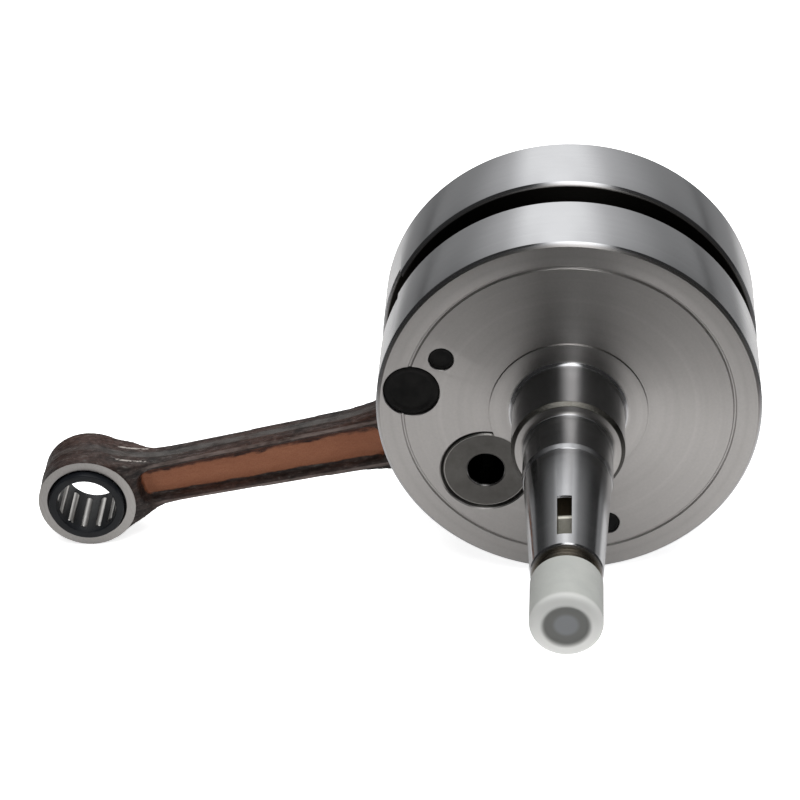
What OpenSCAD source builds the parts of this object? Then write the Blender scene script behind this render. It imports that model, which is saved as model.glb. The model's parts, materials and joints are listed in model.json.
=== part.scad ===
// Built-up crankshaft of a single-cylinder two-stroke engine, with its connecting rod.
// The main axis lies along Y and the cylinder's centre plane is y = 0. The ignition side is -Y.
// The crank rests on the rims of its two webs, with the rod's small end down on the same surface.

/* [Crank webs] */
// Diameter of each full-circle web
web_d = 96; // [94:0.5:98]
// Thickness of each web, from its inner face to its outer face
web_t = 21.85; // [21:0.05:22.5]
// Free space between the two inner faces
web_gap = 8.6; // [8.4:0.1:9.2]
// Chamfer on the four rim edges
rim_chamfer = 1.0; // [0.4:0.1:1.5]
// Radius of the turned ring groove in each outer face
groove_r = 41.3; // [40.5:0.1:42]
// Width of the ring groove
groove_w = 0.9; // [0.4:0.1:1.2]
// Depth of the ring groove
groove_depth = 0.5; // [0.2:0.1:0.8]
// Radius of the raised bearing seat around each journal
boss_r = 19.8; // [18:0.1:22]
// Height of the raised bearing seat
boss_h = 0.5; // [0.2:0.1:1]

/* [Crank throw] */
// Distance from the main axis to the crank pin, half the stroke
throw_r = 27.25; // [26.5:0.05:27.5]
// Turn of the crank pin about the main axis at rest, from +X towards +Z
throw_angle = -142.35; // [-145:0.05:-140]
// Radius of the crank pin
pin_r = 11; // [10.8:0.05:11.2]
// Radius of the hole through the crank pin
pin_hole_r = 4.5; // [4:0.1:5]
// How far the pin's ends stand below the web faces
pin_recess = 0.3; // [0.1:0.1:0.6]
// Chamfer at the outer mouth of each pin hole in the webs
pin_mouth = 0.75; // [0.4:0.05:1]

/* [Rod clearance in the webs] */
// Distance from the main axis to the straight edge of the clearance step
step_x = 18.6; // [17.5:0.1:18.7]
// Depth of the clearance step in each inner face
step_depth = 3.1; // [2.5:0.1:3.5]
// Radius of the round pocket for the rod's big end
pocket_r = 21; // [20:0.1:22]
// Depth of the round pocket in each inner face
pocket_depth = 4.0; // [3.8:0.1:4.2]

/* [Balance plugs] */
// Radius of the large plugged holes
plug_large_r = 7.1; // [6.5:0.1:7.3]
// Distance of the large holes from the main axis
plug_large_dist = 39.4; // [39:0.1:39.8]
// Angle of the large holes to either side of the crank pin
plug_large_angle = 48.75; // [48:0.25:50]
// Radius of the small plugged holes
plug_small_r = 3.15; // [2.8:0.05:3.3]
// Distance of the small holes from the main axis
plug_small_dist = 34.8; // [34.4:0.1:35.4]
// Angle of the small holes to either side of the crank pin
plug_small_angle = 66; // [65.5:0.5:68]
// How far the plugs stand below the web faces
plug_recess = 0.45; // [0.2:0.05:0.8]

/* [Journals] */
// Radius of both main bearing journals
journal_r = 14; // [13.5:0.1:14.2]
// Length of a main journal, from the web face to the end of its chamfer
journal_len = 18.3; // [17.5:0.1:19]
// Chamfer at the end of a main journal
journal_chamfer = 0.8; // [0.4:0.1:1]
// Radius of the seal journal on the ignition side
seal_r = 11; // [10.8:0.1:11.4]
// Distance from the web face to the end of the seal journal
seal_end = 31.3; // [30:0.1:33]

/* [Flywheel taper] */
// Distance from the web face to the large end of the taper
taper_start = 32.9; // [32:0.1:34]
// Radius of the taper's large end
taper_start_r = 10.62; // [10.4:0.02:10.8]
// Distance from the web face to the small end of the taper
taper_end = 69.8; // [68:0.1:71]
// Radius of the taper's small end
taper_end_r = 8.56; // [8.4:0.02:8.8]
// Width of the Woodruff key slot
slot_w = 3.5; // [3:0.1:4]
// Radius of the Woodruff cutter
slot_cutter_r = 8; // [7:0.1:9]
// Depth of the key slot below the taper
slot_depth = 4.7; // [4:0.1:5]
// Distance from the web face to the middle of the key slot
slot_mid = 59; // [58:0.1:60]
// Turn of the key slot about the main axis at rest, from +X towards +Z
slot_angle = 91.2; // [80:0.2:100]

/* [Threads] */
// Outer radius of the flywheel nut's thread
ignition_thread_r = 8; // [7.8:0.05:8]
// Distance from the web face to the ignition-side end of the shaft
ignition_end = 88; // [86:0.5:88]
// Outer radius of the drive-side thread
drive_thread_r = 7; // [6.8:0.1:7.5]
// Distance from the web face to the drive-side end of the shaft
drive_end = 62; // [60:0.5:64]
// Pitch of both threads
thread_pitch = 1.5; // [1.25:0.25:1.5]

/* [Drive side] */
// Tip radius of the primary gear spline
spline_r = 11; // [10.8:0.1:11.2]
// Number of spline teeth
spline_teeth = 16; // [12:1:18]
// Depth of the spline spaces
spline_depth = 1.1; // [0.8:0.1:1.2]
// Distance from the web face to the end of the spline
spline_end = 44; // [42:0.5:46]

/* [Connecting rod] */
// Distance between the two eye centres
rod_len = 108; // [107:0.5:109]
// Radius of the big end's bore, the bearing's outer race
big_bore_r = 14; // [13.9:0.05:14.1]
// Outer radius of the big end
big_eye_r = 18.5; // [18:0.1:19]
// Width of the big end
big_eye_w = 14.2; // [14:0.1:14.2]
// Radius of the small end's bore
small_bore_r = 10; // [9.9:0.05:10.1]
// Outer radius of the small end
small_eye_r = 12.95; // [12.7:0.05:13.2]
// Width of the small end
small_eye_w = 14.5; // [14:0.1:15]
// Thickness of the I-section shank
shank_t = 8.1; // [7.6:0.1:8.1]
// Thickness of the shank's web between its two channels
shank_web_t = 3.2; // [2.8:0.1:3.6]
// Half height of the shank where it leaves the big end
shank_big_h = 7.25; // [7:0.05:7.5]
// Half height of the shank where it meets the small end
shank_small_h = 6.3; // [6:0.05:6.6]
// Half height of the forged channel at the big end
channel_big_h = 4.95; // [4.6:0.05:5.2]
// Half height of the forged channel at the small end
channel_small_h = 4.0; // [3.8:0.05:4.3]
// Corner radius of the forged channel
channel_corner_r = 2.2; // [1.5:0.1:3]
// Distance from the big end's rim to the start of the channel
channel_big_gap = 10; // [8:0.5:14]
// Distance from the end of the channel to the small end's rim
channel_small_gap = 2.0; // [1.5:0.1:5]
// Radius of the two oil holes in the small end
oil_hole_r = 1.6; // [1:0.1:2]
// Angle of the oil holes to either side of the rod's own axis
oil_hole_angle = 35; // [25:1:50]

/* [Bearings] */
// Radius of the big-end rollers
big_roller_r = 1.48; // [1.46:0.01:1.49]
// Length of the big-end rollers
big_roller_len = 10.8; // [10:0.1:11]
// Number of big-end rollers
big_roller_count = 14; // [12:1:15]
// Radius of the small-end rollers
small_roller_r = 1.23; // [1.2:0.01:1.24]
// Length of the small-end rollers
small_roller_len = 13.2; // [12.5:0.1:13.4]
// Number of small-end rollers
small_roller_count = 13; // [12:1:14]
// Turn of the first small-end roller, measured from the rod's own axis
small_roller_turn = 66; // [0:1:360]
// Length of the small-end cage
small_cage_len = 17.7; // [17:0.1:18]
// Thickness of the two thrust washers
washer_t = 1.0; // [0.8:0.05:1.05]
// Outer radius of the thrust washers
washer_r = 18; // [17:0.1:18.5]
// Width of the oil slots across a washer
washer_slot_w = 2; // [1:0.1:3]
// Depth of the oil slots
washer_slot_depth = 0.3; // [0.1:0.05:0.4]

/* [Thread cap] */
// Outer radius of the plastic thread cap
cap_r = 8.45; // [8.4:0.05:8.8]
// Distance from the web face to the open rim of the cap
cap_start = 74.3; // [73:0.1:76]
// Distance from the web face to the closed end of the cap
cap_end = 90.4; // [89.5:0.1:91]
// Radius of the rounding at the cap's closed end
cap_round = 2.8; // [2:0.1:3.5]
// Radius of the dished hollow in the cap's closed end
cap_dish_r = 5.2; // [4.5:0.1:5.4]
// Depth of the dished hollow
cap_dish_depth = 0.6; // [0.3:0.1:0.8]
// Thickness of the closed end outside the hollow
cap_floor_t = 1.6; // [1.4:0.1:2]

/* [Hidden] */
$fn = 96;
// Radial play of a rolling element or a washer
play = 0.02;
// Gap between pieces that are pressed together
press_gap = 0.01;
// Overlap that lets a cut run clear of the surface it starts from
over = 1;
// Chamfer on small edges of the rod, the crank pin and the large plugs
edge = 0.5;
// Fillets at the roots of the main journals and of the steps that follow them
root_fillet = 1.5;
step_fillet = 1.2;
// Chamfer round the raised bearing seats
boss_edge = 0.2;
// Small step and bevels at the two ends of the taper
taper_step = 0.1;
taper_lead = 0.15;
taper_bevel = 0.3;

web_r = web_d / 2;
inner_z = web_gap / 2;
face_z = inner_z + web_t;
pin_x = throw_r * cos(throw_angle);
pin_z = throw_r * sin(throw_angle);
// The rod's small end comes down on the surface that the web rims stand on
small_eye_z = small_eye_r - web_r;
rod_angle = -180 - asin((small_eye_z - pin_z) / rod_len);

thread_depth = 0.6134 * thread_pitch;
big_pitch_r = pin_r + play + big_roller_r;
small_pitch_r = small_bore_r - play - small_roller_r;
big_cage_w = 13.8;
pocket_play = 0.07;
centre_drill_r = 2.2;
centre_drill_depth = 5;
// Plain length of shaft between the drive-side main journal and the spline
spline_gap = 6;
// Sharp bottom edge of the threads' end chamfers, below the thread root
thread_nose = 0.2;
// Plain length between a shoulder and the first thread ridge, and from the last ridge to the end
ignition_run_in = 1.1;
ignition_run_out = 1.0;
drive_run_in = 2.5;
drive_run_out = 0.8;
// Bevel at the spline's end, and the shoulder left round the thread there
spline_bevel = 0.6;
drive_shoulder = 0.3;
roller_chamfer = 0.25;
// Radial room inside and outside the big-end cage
big_cage_room = 0.35;
small_cage_room = 0.15;
small_cage_t = 2.05;
// The shank swells to the small end's width between these distances from the small end's rim
swell_start = 6;
swell_end = -1;
washer_bore_r = pin_r + 0.1;
washer_inner_y = inner_z + pocket_depth - washer_t - 0.05;
// The rod is thicker than the gap between the webs only inside their round pockets
rod_skirt_r = pocket_r - 0.5;
big_flare_r = 60;
small_flare_r = 34;

function two_digits(n) = n < 10 ? str("0", n) : str(n);
BIG_ROLLERS = [for (i = [1:big_roller_count]) str("big_end_roller_", two_digits(i))];
SMALL_ROLLERS = [for (i = [1:small_roller_count]) str("small_end_roller_", two_digits(i))];
SIDES = ["ignition", "drive"];
SIZES = ["large", "small"];

// Colours of the finished pieces
steel = [0.60, 0.59, 0.58];
pin_steel = [0.34, 0.33, 0.32];
oxide = [0.24, 0.20, 0.18];
roller_steel = [0.72, 0.71, 0.70];
cage_black = [0.10, 0.11, 0.12];
plug_black = [0.07, 0.07, 0.07];
bronze = [0.62, 0.44, 0.28];
cap_white = [0.86, 0.87, 0.85];

// Points of a quarter-round fillet about (cx, cz), from angle a0 to angle a1
function arc(cx, cz, r, a0, a1, steps = 6) =
    [for (i = [0:steps]) let (a = a0 + (a1 - a0) * i / steps) [cx + r * cos(a), cz + r * sin(a)]];

// Turned outline of thread ridges between two heights, from the low end to the high end
function thread_outline(r, z0, z1) =
    let (turns = floor((z1 - z0) / thread_pitch))
    [for (i = [0:turns - 1], k = [0:3])
        let (z = z0 + i * thread_pitch)
        [k == 0 || k == 3 ? r - thread_depth : r,
         z + thread_pitch * [0.06, 0.44, 0.56, 0.94][k]]];

// Local frame of a crank half: Z runs outwards along the main axis, and Y is the object's +Z
module ignition_frame() { rotate([90, 0, 0]) children(); }
module drive_frame() { mirror([0, 1, 0]) rotate([90, 0, 0]) children(); }
module side_frame(side) {
    if (side == "ignition") ignition_frame() children();
    else drive_frame() children();
}
module at_throw() { rotate([0, 0, throw_angle]) translate([throw_r, 0, 0]) children(); }
module at_polar(angle, dist) { rotate([0, 0, throw_angle + angle]) translate([dist, 0, 0]) children(); }

// Turned web outline, from the axis out along the inner face, over the rim and in to the boss
function web_outline() = concat(
    [[0, inner_z],
     [web_r - rim_chamfer, inner_z],
     [web_r, inner_z + rim_chamfer],
     [web_r, face_z - rim_chamfer],
     [web_r - rim_chamfer, face_z],
     [groove_r + groove_w / 2, face_z],
     [groove_r + groove_w / 4, face_z - groove_depth],
     [groove_r - groove_w / 4, face_z - groove_depth],
     [groove_r - groove_w / 2, face_z],
     [boss_r, face_z],
     [boss_r, face_z + boss_h - boss_edge],
     [boss_r - boss_edge, face_z + boss_h]]);

// Main journal with its root fillet and end chamfer
function journal_outline(next_r) = concat(
    arc(journal_r + root_fillet, face_z + boss_h + root_fillet, root_fillet, 270, 180),
    [[journal_r, face_z + journal_len - journal_chamfer],
     [journal_r - journal_chamfer, face_z + journal_len],
     [next_r + step_fillet, face_z + journal_len]],
    arc(next_r + step_fillet, face_z + journal_len + step_fillet, step_fillet, 270, 180, 5));

// Everything milled, bored or drilled in a web
module web_cuts() {
    at_throw() {
        translate([0, 0, inner_z - over]) cylinder(r = pin_r + press_gap, h = web_t + 3 * over);
        translate([0, 0, inner_z - over]) cylinder(r = pocket_r, h = pocket_depth + over);
    }
    // The mouth chamfer stops at the raised bearing seat
    difference() {
        at_throw() translate([0, 0, face_z - pin_mouth])
            cylinder(r1 = pin_r, r2 = pin_r + 2 * pin_mouth, h = 2 * pin_mouth);
        cylinder(r = boss_r, h = 2 * face_z);
    }
    rotate([0, 0, throw_angle]) translate([step_x, -web_r - over, inner_z - over])
        cube([web_r, web_d + 2 * over, step_depth + over]);
    for (s = [-1, 1]) {
        at_polar(s * plug_large_angle, plug_large_dist)
            cylinder(r = plug_large_r, h = 2 * face_z);
        at_polar(s * plug_small_angle, plug_small_dist)
            cylinder(r = plug_small_r, h = 2 * face_z);
    }
}

module centre_drill(end_z) {
    translate([0, 0, end_z - centre_drill_depth]) cylinder(r = centre_drill_r / 2, h = centre_drill_depth + over);
    translate([0, 0, end_z - centre_drill_r]) cylinder(r1 = 0, r2 = centre_drill_r + over, h = centre_drill_r + over);
}

module ignition_side_crank_half() {
    thread_z0 = face_z + taper_end + ignition_run_in;
    end_z = face_z + ignition_end;
    color(steel) ignition_frame() difference() {
        rotate_extrude() polygon(concat(
            web_outline(),
            journal_outline(seal_r),
            [[seal_r, face_z + seal_end],
             [taper_start_r + taper_step, face_z + taper_start],
             [taper_start_r, face_z + taper_start + taper_lead],
             [taper_end_r, face_z + taper_end - taper_bevel],
             [taper_end_r - taper_bevel, face_z + taper_end],
             [ignition_thread_r - thread_depth, face_z + taper_end + taper_bevel]],
            thread_outline(ignition_thread_r, thread_z0, end_z - ignition_run_out),
            [[ignition_thread_r - thread_depth - thread_nose, end_z],
             [0, end_z]]));
        web_cuts();
        centre_drill(end_z);
        rotate([0, 0, slot_angle])
            translate([taper_r(slot_mid) + slot_cutter_r - slot_depth, 0, face_z + slot_mid])
                rotate([90, 0, 0]) cylinder(r = slot_cutter_r, h = slot_w, center = true);
    }
}

function taper_r(d) =
    taper_start_r - (taper_start_r - taper_end_r) * (d - taper_start) / (taper_end - taper_start);

module drive_side_crank_half() {
    thread_z0 = face_z + spline_end + drive_run_in;
    end_z = face_z + drive_end;
    color(steel) drive_frame() difference() {
        rotate_extrude() polygon(concat(
            web_outline(),
            journal_outline(spline_r),
            [[spline_r, face_z + spline_end - spline_bevel],
             [spline_r - spline_bevel, face_z + spline_end],
             [drive_thread_r + drive_shoulder, face_z + spline_end],
             [drive_thread_r - thread_depth, face_z + spline_end + spline_bevel]],
            thread_outline(drive_thread_r, thread_z0, end_z - drive_run_out),
            [[drive_thread_r - thread_depth - thread_nose, end_z],
             [0, end_z]]));
        web_cuts();
        centre_drill(end_z);
        spline_spaces();
    }
}

// Spaces between the teeth of the primary gear spline
module spline_spaces() {
    space_w = PI * spline_r / spline_teeth;
    spline_start = journal_len + spline_gap;
    for (i = [0:spline_teeth - 1])
        rotate([0, 0, i * 360 / spline_teeth])
            translate([spline_r - spline_depth, -space_w / 2, face_z + spline_start])
                cube([spline_depth + over, space_w, spline_end - spline_start + over]);
}

module crank_pin() {
    half = face_z - pin_recess;
    color(pin_steel) ignition_frame() at_throw() rotate_extrude() polygon([
        [pin_hole_r, edge - half],
        [pin_hole_r + edge, -half],
        [pin_r - edge, -half],
        [pin_r, edge - half],
        [pin_r, half - edge],
        [pin_r - edge, half],
        [pin_hole_r + edge, half],
        [pin_hole_r, half - edge]]);
}

// Plug in a balance hole. The large ones sit where the web is thinned by the clearance step
module balance_plug(side, size, s) {
    large = size == "large";
    r = (large ? plug_large_r : plug_small_r) - press_gap;
    z0 = inner_z + (large ? step_depth : 0) + plug_recess;
    z1 = face_z - plug_recess;
    bevel = large ? edge : 0.6 * edge;
    color(plug_black) side_frame(side)
        at_polar(s * (large ? plug_large_angle : plug_small_angle),
                 large ? plug_large_dist : plug_small_dist)
            rotate_extrude() polygon([
                [0, z0], [r - bevel, z0], [r, z0 + bevel], [r, z1 - bevel], [r - bevel, z1], [0, z1]]);
}

// Frame of the connecting rod: X runs from the crank pin to the small end
module rod_frame() {
    ignition_frame() translate([pin_x, pin_z, 0]) rotate([0, 0, rod_angle]) children();
}

// Start of the arc of radius r that joins an eye to a shank of half height h, seen from the eye
function flare_reach(eye_r, r, h) = sqrt(pow(eye_r + r, 2) - pow(h + r, 2));
// Upper edge of the arc, from the shank to the eye
function flare(eye_x, dir, eye_r, r, h) =
    let (reach = flare_reach(eye_r, r, h), a1 = 270 - asin(reach / (eye_r + r)))
    [for (i = [0:10]) let (a = 270 + (a1 - 270) * i / 10)
        [eye_x + dir * (reach + r * cos(a)), h + r + r * sin(a)]];
function flip(points) = [for (i = [len(points) - 1:-1:0]) [points[i].x, -points[i].y]];

module shank_plan() {
    upper = concat(
        [for (i = [10:-1:0]) flare(0, 1, big_eye_r, big_flare_r, shank_big_h)[i]],
        flare(rod_len, -1, small_eye_r, small_flare_r, shank_small_h));
    polygon(concat([[0, 0]], upper, [[rod_len, 0]], flip(upper)));
}

// Thickness of the rod along its length: a thin shank that tapers out to the small end
module shank_side() {
    small_h = small_eye_w / 2 - edge;
    upper = [[0, shank_t / 2],
             [rod_len - small_eye_r - swell_start, shank_t / 2],
             [rod_len - small_eye_r - swell_end, small_h],
             [rod_len, small_h]];
    polygon(concat(upper, flip(upper)));
}

// Cone about the crank pin that blends the big end down to the shank
module big_end_skirt() {
    big_h = big_eye_w / 2 - edge;
    rotate_extrude() polygon([
        [0, -big_h], [big_eye_r - 1, -big_h], [rod_skirt_r, -shank_t / 2],
        [rod_skirt_r, shank_t / 2], [big_eye_r - 1, big_h], [0, big_h]]);
}

// Forged channel in one side of the shank
module channel_plan() {
    x0 = big_eye_r + channel_big_gap;
    x1 = rod_len - small_eye_r - channel_small_gap;
    r = channel_corner_r;
    polygon(concat(
        arc(x0 + r, channel_big_h - r, r, 180, 90, 4),
        arc(x1 - r, channel_small_h - r, r, 90, 0, 4),
        arc(x1 - r, r - channel_small_h, r, 0, -90, 4),
        arc(x0 + r, r - channel_big_h, r, -90, -180, 4)));
}

module connecting_rod() {
    color(oxide) rod_frame() difference() {
        union() {
            intersection() {
                linear_extrude(height = 2 * small_eye_w, center = true) shank_plan();
                union() {
                    rotate([90, 0, 0]) linear_extrude(height = 4 * big_eye_r, center = true) shank_side();
                    big_end_skirt();
                }
            }
            eye(big_eye_r, big_eye_w, 0);
            eye(small_eye_r, small_eye_w, rod_len);
        }
        cylinder(r = big_bore_r, h = 3 * big_eye_w, center = true);
        translate([rod_len, 0, 0]) cylinder(r = small_bore_r, h = 3 * small_eye_w, center = true);
        for (s = [-1, 1]) {
            translate([0, 0, s * (shank_web_t / 2 + shank_t / 2)])
                linear_extrude(height = shank_t, center = true) channel_plan();
            translate([rod_len, 0, s * small_eye_w / 2]) mouth_chamfer(small_bore_r, edge, s);
            translate([0, 0, s * big_eye_w / 2]) mouth_chamfer(big_bore_r, edge, s);
        }
        // Two oil holes into the outer end of the small end's bore
        for (a = [-oil_hole_angle, oil_hole_angle])
            translate([rod_len, 0, 0]) rotate([0, 90, a]) cylinder(r = oil_hole_r, h = 3 * small_bore_r);
    }
}

module eye(r, w, x) {
    translate([x, 0, 0]) rotate_extrude() polygon([
        [0, -w / 2], [r - edge, -w / 2], [r, edge - w / 2],
        [r, w / 2 - edge], [r - edge, w / 2], [0, w / 2]]);
}

module mouth_chamfer(r, c, s) {
    if (s > 0) translate([0, 0, -c]) cylinder(r1 = r, r2 = r + 2 * c, h = 2 * c);
    else translate([0, 0, -c]) cylinder(r1 = r + 2 * c, r2 = r, h = 2 * c);
}

module thrust_washer(side) {
    color(bronze) side_frame(side) at_throw() translate([0, 0, washer_inner_y]) difference() {
        cylinder(r = washer_r, h = washer_t);
        translate([0, 0, -over]) cylinder(r = washer_bore_r, h = washer_t + 2 * over);
        // Oil slots across the inner face
        for (i = [0:3]) rotate([0, 0, 45 + 90 * i])
            translate([big_bore_r - over, -washer_slot_w / 2, -over])
                cube([washer_r, washer_slot_w, over + washer_slot_depth]);
    }
}

// Needle cage: a ring with a pocket for each roller
module cage(inner_r, outer_r, length, pitch_r, roller_r, roller_len, count) {
    difference() {
        cylinder(r = outer_r, h = length, center = true);
        cylinder(r = inner_r, h = length + 2 * over, center = true);
        for (i = [0:count - 1]) rotate([0, 0, i * 360 / count]) translate([pitch_r, 0, 0])
            cylinder(r = roller_r + pocket_play, h = roller_len + 2 * pocket_play, center = true);
    }
}

module roller(r, length) {
    rotate_extrude() polygon([
        [0, -length / 2], [r - roller_chamfer, -length / 2], [r, roller_chamfer - length / 2],
        [r, length / 2 - roller_chamfer], [r - roller_chamfer, length / 2], [0, length / 2]]);
}

module big_end_cage() {
    color(bronze) rod_frame()
        cage(pin_r + big_cage_room, big_bore_r - big_cage_room, big_cage_w, big_pitch_r, big_roller_r,
             big_roller_len, big_roller_count);
}

module big_end_roller(i) {
    color(roller_steel) rod_frame() rotate([0, 0, i * 360 / big_roller_count])
        translate([big_pitch_r, 0, 0]) roller(big_roller_r, big_roller_len);
}

module small_end_frame() {
    rod_frame() translate([rod_len, 0, 0]) rotate([0, 0, small_roller_turn]) children();
}

module small_end_cage() {
    outer_r = small_bore_r - small_cage_room;
    color(cage_black) small_end_frame()
        cage(outer_r - small_cage_t, outer_r, small_cage_len, small_pitch_r,
             small_roller_r, small_roller_len, small_roller_count);
}

module small_end_roller(i) {
    color(roller_steel) small_end_frame() rotate([0, 0, i * 360 / small_roller_count])
        translate([small_pitch_r, 0, 0]) roller(small_roller_r, small_roller_len);
}

module thread_cap() {
    inner_r = ignition_thread_r + play;
    z0 = face_z + cap_start;
    z1 = face_z + cap_end;
    floor_z = z1 - cap_floor_t;
    color(cap_white) ignition_frame() rotate_extrude() polygon(concat(
        [[inner_r, z0], [cap_r, z0]],
        arc(cap_r - cap_round, z1 - cap_round, cap_round, 0, 90, 8),
        [[cap_dish_r, z1], [cap_dish_r - edge, z1 - cap_dish_depth], [0, z1 - cap_dish_depth],
         [0, floor_z], [inner_r - 1, floor_z], [inner_r, floor_z - 1]]));
}

ignition_side_crank_half();
drive_side_crank_half();
crank_pin();
connecting_rod();
big_end_cage();
small_end_cage();
thrust_washer("ignition");  // thrust_washer_ignition
thrust_washer("drive");  // thrust_washer_drive
thread_cap();
for (side = SIDES, size = SIZES, n = [1, 2])
    balance_plug(side, size, n == 1 ? -1 : 1);
for (i = [0:big_roller_count - 1])
    big_end_roller(i);
for (i = [0:small_roller_count - 1])
    small_end_roller(i);
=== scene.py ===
import json
import math

import bmesh
import bpy
from mathutils import Matrix, Quaternion, Vector

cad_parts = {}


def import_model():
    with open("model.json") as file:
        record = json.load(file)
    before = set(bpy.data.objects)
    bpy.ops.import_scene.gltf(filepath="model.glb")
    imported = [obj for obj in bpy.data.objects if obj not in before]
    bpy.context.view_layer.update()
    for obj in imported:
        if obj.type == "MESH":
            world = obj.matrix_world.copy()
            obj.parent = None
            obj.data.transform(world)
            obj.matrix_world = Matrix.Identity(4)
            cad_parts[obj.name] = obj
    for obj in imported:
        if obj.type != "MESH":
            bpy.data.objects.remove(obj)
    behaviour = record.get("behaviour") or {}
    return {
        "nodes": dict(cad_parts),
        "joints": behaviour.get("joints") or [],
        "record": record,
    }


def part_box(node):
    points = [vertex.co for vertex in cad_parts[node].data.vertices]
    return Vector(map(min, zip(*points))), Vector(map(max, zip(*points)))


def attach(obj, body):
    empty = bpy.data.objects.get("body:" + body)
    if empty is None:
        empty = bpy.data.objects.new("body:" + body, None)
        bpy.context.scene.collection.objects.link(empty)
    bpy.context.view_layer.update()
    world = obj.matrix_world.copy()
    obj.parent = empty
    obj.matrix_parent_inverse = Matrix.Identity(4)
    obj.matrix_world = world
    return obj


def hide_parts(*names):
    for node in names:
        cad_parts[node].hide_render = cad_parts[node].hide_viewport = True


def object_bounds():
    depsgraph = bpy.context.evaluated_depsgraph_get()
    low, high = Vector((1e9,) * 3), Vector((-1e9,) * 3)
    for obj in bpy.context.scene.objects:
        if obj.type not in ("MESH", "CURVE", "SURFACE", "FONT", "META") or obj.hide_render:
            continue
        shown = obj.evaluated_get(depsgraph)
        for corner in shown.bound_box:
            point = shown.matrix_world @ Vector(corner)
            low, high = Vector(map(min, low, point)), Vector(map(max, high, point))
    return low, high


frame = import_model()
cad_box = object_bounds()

# ---------------------------------------------------------------- places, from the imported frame
MM = 0.001
JOINTS = {j["name"]: j for j in frame["joints"]}
PIN = Vector(JOINTS["rod_swing"]["pos_m"])
SMALL_END = Vector(JOINTS["small_end_bearing_turn"]["pos_m"])
AXIS = Vector((0, 0, 0))
SLOTS = {s["node"]: s["material_slot"] for s in frame["record"]["subparts"]}
# From a frame whose Z points out of a crank half's end to the row frame
OUT_IGNITION = Matrix(((1, 0, 0, 0), (0, 0, -1, 0), (0, 1, 0, 0), (0, 0, 0, 1)))
OUT_DRIVE = Matrix(((1, 0, 0, 0), (0, 0, 1, 0), (0, 1, 0, 0), (0, 0, 0, 1)))


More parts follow.
